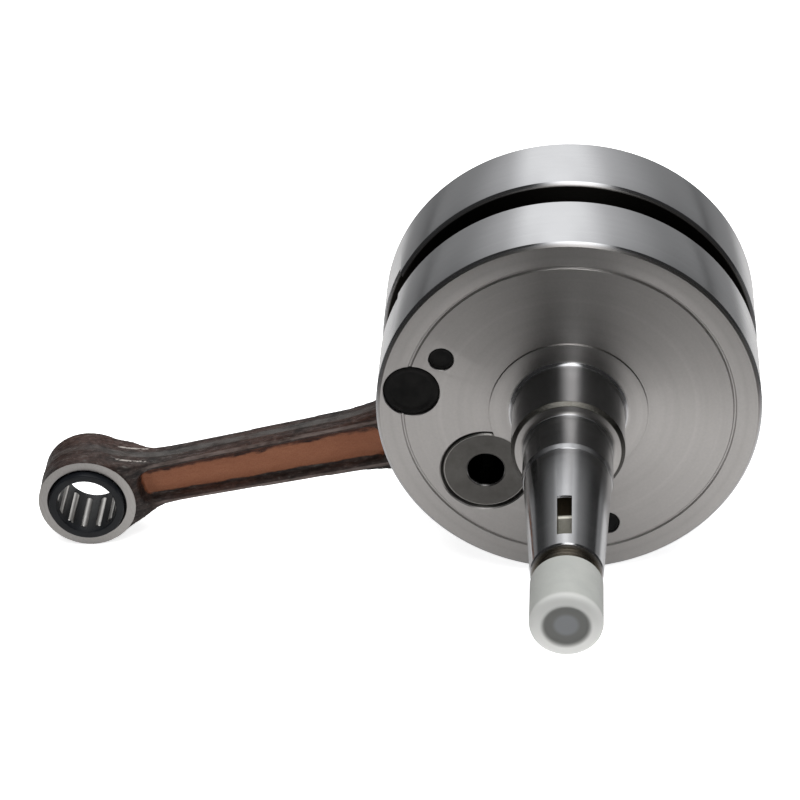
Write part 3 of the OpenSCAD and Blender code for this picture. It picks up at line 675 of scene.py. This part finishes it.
def web_tools(side, out):
    """Everything bored or milled in a web."""
    at_pin = out @ AT_PIN
    bore = cylinder("bore", PIN_R + 0.01, INNER - 2, FACE + BEYOND, at_pin, 128)
    bevel = [(0, FACE - 2), (PIN_R - 1.25, FACE - 2), (PIN_R + 2.0, FACE + 1.25), (0, FACE + 1.25)]
    mouth = to_object("mouth", lathe(bevel, 128), at_pin)
    combine(mouth, [cylinder("boss", BOSS_R, FACE - 4, FACE + 4, out)])
    pocket = cylinder("pocket", POCKET_R, INNER - 2, INNER + POCKET_DEPTH, at_pin)

    bm = bmesh.new()
    bmesh.ops.create_cube(bm, size=1)
    low, high = Vector((STEP_X, -WEB_R - 2, INNER - 2)), Vector((WEB_R + 2, WEB_R + 2, INNER + STEP_DEPTH))
    bm.transform(Matrix.Translation((low + high) / 2) @ Matrix.Diagonal((*(high - low), 1)))
    step = to_object("step", bm, out @ Matrix.Rotation(THROW_ANGLE, 4, "Z"))

    tools = [bore, mouth, pocket, step]
    for size in ("large", "small"):
        for n in (1, 2):
            tools.append(plug_drill(f"balance_plug_{size}_{side}_{n}", out))
    return tools


def taper_radius(z):
    """Radius of the flywheel's taper at a place along the shaft."""
    share = (z - TAPER_START) / (TAPER_END - TAPER_START)
    return TAPER_START_R + (TAPER_END_R - TAPER_START_R) * share


def ignition_half():
    """Web, main journal, seal journal and the taper with its key slot."""
    root = IGNITION_THREAD_R - THREAD_DEPTH
    outline = rounded(web_corners() + [
        (SEAL_R, JOURNAL_END, 1.2), (SEAL_R, SEAL_END, 0.1), (TAPER_START_R + 0.1, TAPER_START - 0.15, 0.05),
        (TAPER_START_R, TAPER_START, 0.05), (TAPER_END_R, TAPER_END, 0.1),
        (TAPER_END_R - 0.3, TAPER_END + 0.3, 0.05), (root, TAPER_END + 0.6, 0.3),
        (root, IGNITION_THREAD_START), (0, IGNITION_THREAD_START)])
    obj = to_object("ignition_half", lathe(outline), OUT_IGNITION)
    cutter = rounded([(0, -SLOT_W / 2), (SLOT_CUTTER_R, -SLOT_W / 2, 0.15), (SLOT_CUTTER_R, SLOT_W / 2, 0.15),
                      (0, SLOT_W / 2)])
    cutter_x = taper_radius(SLOT_MID) + SLOT_CUTTER_R - SLOT_DEPTH
    place = (OUT_IGNITION @ Matrix.Rotation(SLOT_ANGLE, 4, "Z") @ Matrix.Translation((cutter_x, 0, SLOT_MID))
             @ Matrix.Rotation(math.pi / 2, 4, "X"))
    combine(obj, web_tools("ignition", OUT_IGNITION) + [to_object("slot", lathe(cutter, 96), place)])
    piece(obj, "crankshaft", "ground_steel", ["ignition_side_crank_half"])


def drive_half():
    """Web and main journal, up to where the spline starts."""
    obj = to_object("drive_half", lathe(rounded(web_corners() + [
        (SPLINE_R, JOURNAL_END, 1.2), (SPLINE_R, SPLINE_BASE), (0, SPLINE_BASE)])), OUT_DRIVE)
    combine(obj, web_tools("drive", OUT_DRIVE))
    piece(obj, "crankshaft", "ground_steel", ["drive_side_crank_half"])


def surface_of(radius_at, z_values, turns):
    """Closed solid about Z whose radius depends on height and turn."""
    angles = [2 * math.pi * k / turns for k in range(turns)]
    bm = bmesh.new()
    rings = []
    for z in z_values:
        radii = [radius_at(z, k / turns) for k in range(turns)]
        rings.append([bm.verts.new((r * math.cos(a), r * math.sin(a), z)) for r, a in zip(radii, angles)])
    first, last = ([bm.verts.new((0, 0, z))] for z in (z_values[0], z_values[-1]))
    rings = [first] + rings + [last]
    for low, high in zip(rings, rings[1:]):
        bridge(bm, low, high)
    bmesh.ops.recalc_face_normals(bm, faces=bm.faces)
    return bm


def held(value):
    """value, kept within 0..1."""
    return min(1.0, max(0.0, value))


def thread(name, radius, start, end, out):
    """Right-hand V thread with a flat crest, a run-in, a chamfered nose and a centre drilling."""
    root = radius - THREAD_DEPTH
    sunk, rings_per_turn, flank = 0.3, 14, 0.42

    def radius_at(z, turn):
        if z < start:
            return root - sunk
        phase = (z / PITCH - turn) % 1.0
        height = held((0.5 - abs(phase - 0.5)) / flank) * held((z - start) / PITCH)
        nose = root - 0.2 + (end - z)
        return min(root + THREAD_DEPTH * height, nose)

    steps = int((end - start) / (PITCH / rings_per_turn))
    z_values = [start - 0.4] + [start + (end - start) * k / steps for k in range(steps + 1)]
    obj = to_object(name, surface_of(radius_at, z_values, 120), out)
    drill = [(0, end - 5), (1.1, end - 4.4), (1.1, end - 2.2), (3.3, end), (3.3, end + 1), (0, end + 1)]
    combine(obj, [to_object("centre_drill", lathe(drill, 48), out)])
    piece(obj, "crankshaft", "ground_steel", sharp=50)


def spline():
    """Primary gear spline: square-sided teeth with bevelled ends, and spaces that run out in a curve."""
    sunk, run_out, run_out_steps, bevel = 0.3, 2.5, 10, 0.6

    def radius_at(z, turn):
        if z < SPLINE_BASE:
            return SPLINE_R - sunk
        phase = (turn * SPLINE_TEETH) % 1.0
        space = held((abs(phase - 0.5) - 0.25) / 0.04)
        risen = held((z - SPLINE_START) / run_out)
        depth = SPLINE_DEPTH * math.sqrt(1 - (1 - risen) ** 2) * space
        return SPLINE_R - max(depth, z - (SPLINE_END - bevel))

    z_values = [SPLINE_BASE - 0.2, SPLINE_BASE, SPLINE_START - 0.01]
    z_values += [SPLINE_START + run_out * (k / run_out_steps) ** 2 for k in range(run_out_steps + 1)]
    z_values += [SPLINE_END - bevel, SPLINE_END]
    obj = to_object("drive_spline", surface_of(radius_at, z_values, SPLINE_TEETH * 24), OUT_DRIVE)
    collar, root = DRIVE_THREAD_R + 0.3, DRIVE_THREAD_R - THREAD_DEPTH
    neck = rounded([(0, SPLINE_END - 1), (collar, SPLINE_END - 1), (collar, SPLINE_END, 0.2),
                    (root, SPLINE_END + 0.6, 0.2), (root, DRIVE_THREAD_START), (0, DRIVE_THREAD_START)])
    combine(obj, [to_object("neck", lathe(neck, 96), OUT_DRIVE)], "UNION")
    piece(obj, "crankshaft", "ground_steel")


ignition_half()
drive_half()
thread("ignition_thread", IGNITION_THREAD_R, IGNITION_THREAD_START, IGNITION_END, OUT_IGNITION)
thread("drive_thread", DRIVE_THREAD_R, DRIVE_THREAD_START, DRIVE_END, OUT_DRIVE)
spline()


# ---------------------------------------------------------------- crank pin and plugs
def crank_pin():
    """Hollow pin with bevelled edges."""
    hole, half, bevel = PIN_HOLE_R, PIN_HIGH.y, 0.5
    corners = [(hole, -half + bevel), (hole + bevel, -half), (PIN_R - bevel, -half), (PIN_R, -half + bevel),
               (PIN_R, half - bevel), (PIN_R - bevel, half), (hole + bevel, half), (hole, half - bevel)]
    outline = rounded([(*corner, 0.1) for corner in corners], closed=True)
    obj = to_object("pressed_crank_pin", lathe(outline, 128, closed=True), OUT_IGNITION @ AT_PIN)
    piece(obj, "crankshaft", "pin_steel", ["crank_pin"])


def plug(node):
    """Moulded plug: rounded edges, a shallow dish in both ends."""
    low, high = in_mm(node)
    r = (high.x - low.x) / 2
    edge, dish = 0.09 * r + 0.15, 0.05 * r
    outline = rounded([
        (0, low.y + dish), (0.72 * r, low.y + dish, 1.0), (0.84 * r, low.y, 0.4), (r, low.y, edge),
        (r, high.y, edge), (0.84 * r, high.y, 0.4), (0.72 * r, high.y - dish, 1.0), (0, high.y - dish)])
    place = OUT_DRIVE @ Matrix.Translation(((low.x + high.x) / 2, (low.z + high.z) / 2, 0))
    obj = to_object(node.replace("balance_plug", "moulded_plug"), lathe(outline, 72), place)
    piece(obj, "crankshaft", "plug_black", [node])


crank_pin()
for node_name in sorted(SLOTS):
    if node_name.startswith("balance_plug"):
        plug(node_name)


# ---------------------------------------------------------------- connecting rod
def flare(eye_r, flare_r, half_h, distance):
    """What the arc from eye to shank adds to the half height, at a distance from the eye's centre."""
    reach = math.sqrt((eye_r + flare_r) ** 2 - (half_h + flare_r) ** 2)
    if distance >= reach:
        return 0
    return flare_r - math.sqrt(flare_r ** 2 - (reach - distance) ** 2)


def shank_half_height(x):
    """Half the shank's height: it narrows along the rod, and widens in an arc into each eye."""
    share = held((x - 40) / 40)
    straight = SHANK_BIG_H + (SHANK_SMALL_H - SHANK_BIG_H) * share
    return (straight + flare(BIG_EYE_R, BIG_FLARE_R, SHANK_BIG_H, x)
            + flare(SMALL_EYE_R, SMALL_FLARE_R, SHANK_SMALL_H, ROD_LEN - x))


def shank_half_thickness(x):
    """Half the flanges' thickness. It grows smoothly to nearly the small eye's width."""
    grow = held((x - (ROD_LEN - SMALL_EYE_R - 6)) / 7)
    return SHANK_HALF_T + (SMALL_HALF_W - 0.5 - SHANK_HALF_T) * grow * grow * (3 - 2 * grow)


def shank_bar(name, start, end, half_height, half_thickness):
    """Bar along the rod between two places, with its half height and half thickness given at each x."""
    count = int(ROD_LEN / STATION) + 1
    loops = []
    for x in (STATION * k for k in range(count)):
        if start < x < end:
            h, t = half_height(x), half_thickness(x)
            loops.append([(x, -h, -t), (x, h, -t), (x, h, t), (x, -h, t)])
    return to_object(name, stack(loops))


def channel_outline(grow):
    """Corners of a channel, rounded, and let out by grow on every side."""
    x0, x1 = CHANNEL_START - grow, CHANNEL_END + grow
    h0, h1 = CHANNEL_BIG_H + grow, CHANNEL_SMALL_H + grow
    r = CHANNEL_CORNER + grow
    return rounded([(x0, -h0, r), (x1, -h1, r), (x1, h1, r), (x0, h0, r)], closed=True)


def channel_tool(side):
    """Drafted channel of one side of the shank, from its floor out past the flanges."""
    depths = (SHANK_WEB_HALF_T, SHANK_HALF_T, 2 * SHANK_HALF_T)
    loops = [[(x, y, side * z) for x, y in channel_outline(DRAFT * (z - SHANK_WEB_HALF_T))] for z in depths]
    return to_object("channel", stack(loops))


def rod_blank():
    """The forging: eyes, shank with its channels, and the trimmed flash line, softened all over."""
    flash, stock, inside = 0.15, 0.6, 6
    at_small = Matrix.Translation((ROD_LEN, 0, 0))
    eye_start = ROD_LEN - SMALL_EYE_R
    shank = shank_bar("shank", inside, ROD_LEN - inside, lambda x: min(shank_half_height(x), BIG_EYE_R - 2.5),
                      lambda x: SHANK_HALF_T)
    swell = shank_bar("swell", eye_start - 7, ROD_LEN - 4,
                      lambda x: min(shank_half_height(x), SMALL_EYE_R - 1), shank_half_thickness)
    band = shank_bar("band", BIG_EYE_R, eye_start + 1, lambda x: shank_half_height(x) + flash,
                     lambda x: FLASH_HALF_T)
    face, radius = SMALL_HALF_W + stock, SMALL_EYE_R - flash
    small = to_object("small_eye", lathe(rounded([
        (0, -face), (radius, -face, 0.3), (radius, face, 0.3), (0, face)]), 128), at_small)
    small_band = cylinder("small_band", SMALL_EYE_R, -FLASH_HALF_T, FLASH_HALF_T, at_small, 128)
    big = to_object("big_eye", lathe([
        (0, -BIG_HALF_W - stock), (BIG_EYE_R - 1, -BIG_HALF_W - stock), (BIG_EYE_R - 0.6, -BIG_HALF_W + 0.4),
        (BIG_EYE_R, -BIG_HALF_W + 1), (BIG_EYE_R, BIG_HALF_W - 1), (BIG_EYE_R - 0.6, BIG_HALF_W - 0.4),
        (BIG_EYE_R - 1, BIG_HALF_W + stock), (0, BIG_HALF_W + stock)], 160))
    combine(shank, [swell, band, small, small_band, big], "UNION")
    combine(shank, [channel_tool(1), channel_tool(-1)])
    remesh = shank.modifiers.new("remesh", "REMESH")
    remesh.mode, remesh.voxel_size = "VOXEL", 0.42 * MM
    smooth = shank.modifiers.new("smooth", "SMOOTH")
    smooth.factor, smooth.iterations = 0.5, 7
    settle(shank)
    return shank


def facing_tool(x, bore, half_w):
    """Bores an eye, chamfers its bore and faces both its sides."""
    wide, far = bore + 24, 30
    outline = [(0, -far), (wide, -far), (wide, -half_w), (bore + BORE_CHAMFER, -half_w),
               (bore, -half_w + BORE_CHAMFER), (bore, half_w - BORE_CHAMFER), (bore + BORE_CHAMFER, half_w),
               (wide, half_w), (wide, far), (0, far)]
    return to_object("facing", lathe(outline, 160), Matrix.Translation((x, 0, 0)))


def oil_hole_tool(degrees):
    """Small hole into the small eye, widened at its mouth."""
    drill = lathe([(0, 5), (1.6, 5), (1.6, 12), (1.9, 13.2), (0, 13.2)], 40)
    place = (Matrix.Translation((ROD_LEN, 0, 0)) @ Matrix.Rotation(math.radians(degrees), 4, "Z")
             @ Matrix.Rotation(math.pi / 2, 4, "Y"))
    return to_object("oil_hole", drill, place)


def connecting_rod():
    """A forging with soft corners, then its eyes faced and bored to crisp edges."""
    rod = rod_blank()
    combine(rod, [facing_tool(ROD_LEN, SMALL_BORE_R, SMALL_HALF_W), facing_tool(0, BIG_BORE_R, BIG_HALF_W),
                  oil_hole_tool(-35), oil_hole_tool(35)])
    rod.name = "forged_connecting_rod"
    rod.matrix_world = ROD_PLACE
    piece(rod, "connecting_rod", "forged_oxide", ["connecting_rod"], sharp=40)


connecting_rod()


# ---------------------------------------------------------------- small-end cage and thread cap
def small_end_cage():
    """Ring with rounded rims and a window for each needle roller."""
    low, high = in_mm("small_end_cage")
    outer, half, wall = (high.x - low.x) / 2, high.y, 2.05
    inner = outer - wall
    outline = rounded([(inner, -half, 0.35), (outer, -half, 0.35), (outer, half, 0.35), (inner, half, 0.35)],
                      closed=True)
    place = OUT_IGNITION @ Matrix.Translation((SMALL_END.x / MM, SMALL_END.z / MM, 0))
    obj = to_object("needle_cage", lathe(outline, 156, closed=True), place)
    gap = 0.07
    windows = []
    for name in sorted(SLOTS):
        if name.startswith("small_end_roller"):
            a, b = in_mm(name)
            length, radius = (b.y - a.y) / 2 + gap, (b.z - a.z) / 2 + gap
            at = OUT_IGNITION @ Matrix.Translation(((a.x + b.x) / 2, (a.z + b.z) / 2, 0))
            windows.append(cylinder("window", radius, -length, length, at, 32))
    combine(obj, windows)
    piece(obj, "small_end_bearing", "black_cage", ["small_end_cage"])


def thread_cap():
    """Soft cap with a thick rounded rim round a dished end."""
    low, high = in_mm("thread_cap")
    r, start, end = (high.x - low.x) / 2, -high.y, -low.y
    bore, dish_r, dish = IGNITION_THREAD_R + 0.02, 5.2, 0.6
    outline = rounded([(bore, start, 0.12), (r, start, 0.25), (r, end, 2.8), (dish_r + 0.4, end, 0.5),
                       (dish_r - 0.5, end - dish, 0.5), (0, end - dish), (0, end - 1.6),
                       (bore - 1, end - 1.6, 0.4), (bore, end - 2.6, 0.4)], closed=True)
    obj = to_object("soft_cap", lathe(outline, 128, closed=True), OUT_IGNITION)
    piece(obj, "thread_cap", "white_cap", ["thread_cap"])


small_end_cage()
thread_cap()
# The rollers, the washers and the hidden big-end cage keep their CAD meshes
for node_name, node_object in frame["nodes"].items():
    if not node_object.hide_render:
        node_object.data.materials.clear()
        node_object.data.materials.append(MATERIALS[SLOTS[node_name]])


# ---------------------------------------------------------------- floor, light and camera
def floor():
    """Pale floor that glows. In the metals' reflections it darkens away from the object, outside a painted
    pool of light.
    """
    bm = bmesh.new()
    bmesh.ops.create_grid(bm, x_segments=8, y_segments=8, size=4.0)
    mesh = bpy.data.meshes.new("floor")
    bm.to_mesh(mesh)
    bm.free()
    obj = bpy.data.objects.new("floor", mesh)
    bpy.context.scene.collection.objects.link(obj)
    obj.location.z = cad_box[0].z
    white = (0.92, 0.92, 0.92)
    s = Shade("floor_white", white, 0.9, 0.0, Specular_IOR_Level=0.0, Emission_Color=(1, 1, 1, 1))
    path = s.add("ShaderNodeLightPath")

    # the painted pool of light is an oval under the object, with a smaller painted bright spot in front of it
    pool_centre, pool_shape, spot_centre = (-0.02, 0.06, 0), (1.8, 1, 1), (0.02, -0.085, 0)
    reach = s.vec("LENGTH", s.vec("MULTIPLY", s.vec("SUBTRACT", s.place, pool_centre), pool_shape))
    painted_pool = s.span(reach, 0.34, 0.20, smooth=True)
    painted_spot = s.span(s.vec("LENGTH", s.vec("SUBTRACT", s.place, spot_centre)), 0.09, 0.02, smooth=True)
    unlit = s.span(s.split(s.place)[1], -0.1, 0.25, 0.06, 0.22)
    mirrored = s.blend(painted_pool, s.join(unlit, unlit, unlit), (0.45, 0.444, 0.44))
    s.to("Base Color", s.blend(path.outputs["Is Glossy Ray"], white, mirrored))
    # painted light: the floor glows in the painted pool and spot for other rays, and evenly for the camera
    painted_glow = s.math("MULTIPLY_ADD", painted_pool, 0.2, s.math("MULTIPLY", painted_spot, 0.18))
    s.to("Emission Strength", s.lerp(path.outputs["Is Camera Ray"], painted_glow, 0.8))
    mesh.materials.append(s.mat)


def overhead(place, width, height, radiance):
    """Soft light above, which the metals don't mirror."""
    light = bpy.data.lights.new("overhead", "AREA")
    light.shape = "RECTANGLE"
    light.size, light.size_y = width, height
    light.energy = radiance * math.pi * width * height
    obj = bpy.data.objects.new("overhead", light)
    bpy.context.scene.collection.objects.link(obj)
    obj.location = place
    obj.rotation_mode = "QUATERNION"
    obj.rotation_quaternion = Vector(place).to_track_quat("Z", "Y")
    obj.visible_glossy = False


def world():
    """A dim studio, lighter at the back, under one long soft strip light that runs from back to front."""
    studio = bpy.data.worlds.new("studio")
    bpy.context.scene.world = studio
    studio.use_nodes = True
    tree = studio.node_tree
    background = tree.nodes["Background"]
    coords = tree.nodes.new("ShaderNodeTexCoord")
    split = tree.nodes.new("ShaderNodeSeparateXYZ")
    tree.links.new(coords.outputs["Generated"], split.inputs[0])
    x, y, z = split.outputs

    def calc(operation, *values):
        node = tree.nodes.new("ShaderNodeMath")
        node.operation = operation
        for socket, value in zip(node.inputs, values):
            if isinstance(value, bpy.types.NodeSocket):
                tree.links.new(value, socket)
            else:
                socket.default_value = value
        return node.outputs[0]

    def ramp(source, low, high, to_low, to_high):
        node = tree.nodes.new("ShaderNodeMapRange")
        node.interpolation_type = "SMOOTHSTEP"
        for name, number in (("From Min", low), ("From Max", high), ("To Min", to_low), ("To Max", to_high)):
            node.inputs[name].default_value = number
        tree.links.new(source, node.inputs["Value"])
        return node.outputs["Result"]

    # the room: dim in front, a light wall at the back
    wall = (0.752, 0.85)
    room = ramp(y, *wall, 0.034, 0.31)

    # the strip's line runs overhead from back to front; turn is the angle from it, to either side
    heading, centre = math.radians(5.5), math.radians(4)
    front, front_end, core, core_end, halo_end = (math.radians(a) for a in (3, 11, 14, 34, 74))
    side = calc("MULTIPLY_ADD", y, math.tan(heading), x)
    turn = calc("ABSOLUTE", calc("SUBTRACT", calc("ARCTAN2", side, z), centre))

    # its back part: a wide core, brightest along the middle, in a wider halo
    wide = ramp(turn, core, core_end, 0.45, 0.0)
    halo = calc("MULTIPLY", ramp(turn, core, halo_end, 0.47, 0.0), ramp(y, *wall, 0.62, 1.0))
    middle = calc("MULTIPLY", ramp(turn, front, core, 0.35, 0.0), ramp(y, 0.80, 0.86, 1.0, 0.0))
    back_light = calc("ADD", calc("ADD", wide, middle), halo)

    # its front part: narrow and bright, and wider straight above
    widening = ramp(z, 0.6, 0.85, 1.0, 1.9)
    front_light = ramp(calc("DIVIDE", turn, widening), front, front_end, 2.1, 0.0)
    back_part = calc("MULTIPLY", back_light, ramp(y, -0.2, 0.4, 0.0, 1.0))
    front_part = calc("MULTIPLY", front_light, ramp(y, 0.3, -0.2, 0.0, 1.0))
    strip = calc("MULTIPLY", ramp(z, 0.12, 0.34, 0.0, 1.0), calc("ADD", back_part, front_part))

    # the camera sees a plain white backdrop instead
    seen = tree.nodes.new("ShaderNodeLightPath")
    pick = tree.nodes.new("ShaderNodeMix")
    tree.links.new(seen.outputs["Is Camera Ray"], pick.inputs["Factor"])
    tree.links.new(calc("ADD", room, strip), pick.inputs[2])
    pick.inputs[3].default_value = 0.95
    tree.links.new(pick.outputs[0], background.inputs["Strength"])
    background.inputs["Color"].default_value = (1, 1, 1, 1)


def camera():
    """Looks down on the ignition end from just right of the main axis, rolled a little."""
    target = (cad_box[0] + cad_box[1]) / 2 + Vector((0.0031, 0.0062, -0.0061))
    azimuth, elevation, roll = (math.radians(a) for a in (5.496, 31.914, -5.050))
    distance = 0.8326
    back = Vector((math.sin(azimuth) * math.cos(elevation), -math.cos(azimuth) * math.cos(elevation),
                   math.sin(elevation)))
    data = bpy.data.cameras.new("camera")
    data.sensor_width = 36
    data.lens = 146.77
    data.clip_start = 0.01
    obj = bpy.data.objects.new("camera", data)
    bpy.context.scene.collection.objects.link(obj)
    obj.location = target + back * distance
    obj.rotation_mode = "QUATERNION"
    obj.rotation_quaternion = (-back).to_track_quat("-Z", "Y") @ Quaternion((0, 0, 1), roll)
    bpy.context.scene.camera = obj


floor()
world()
overhead(place=(0.15, -0.1, 1.3), width=1.8, height=1.4, radiance=3.1)
camera()
bpy.context.scene.view_settings.view_transform = "Standard"
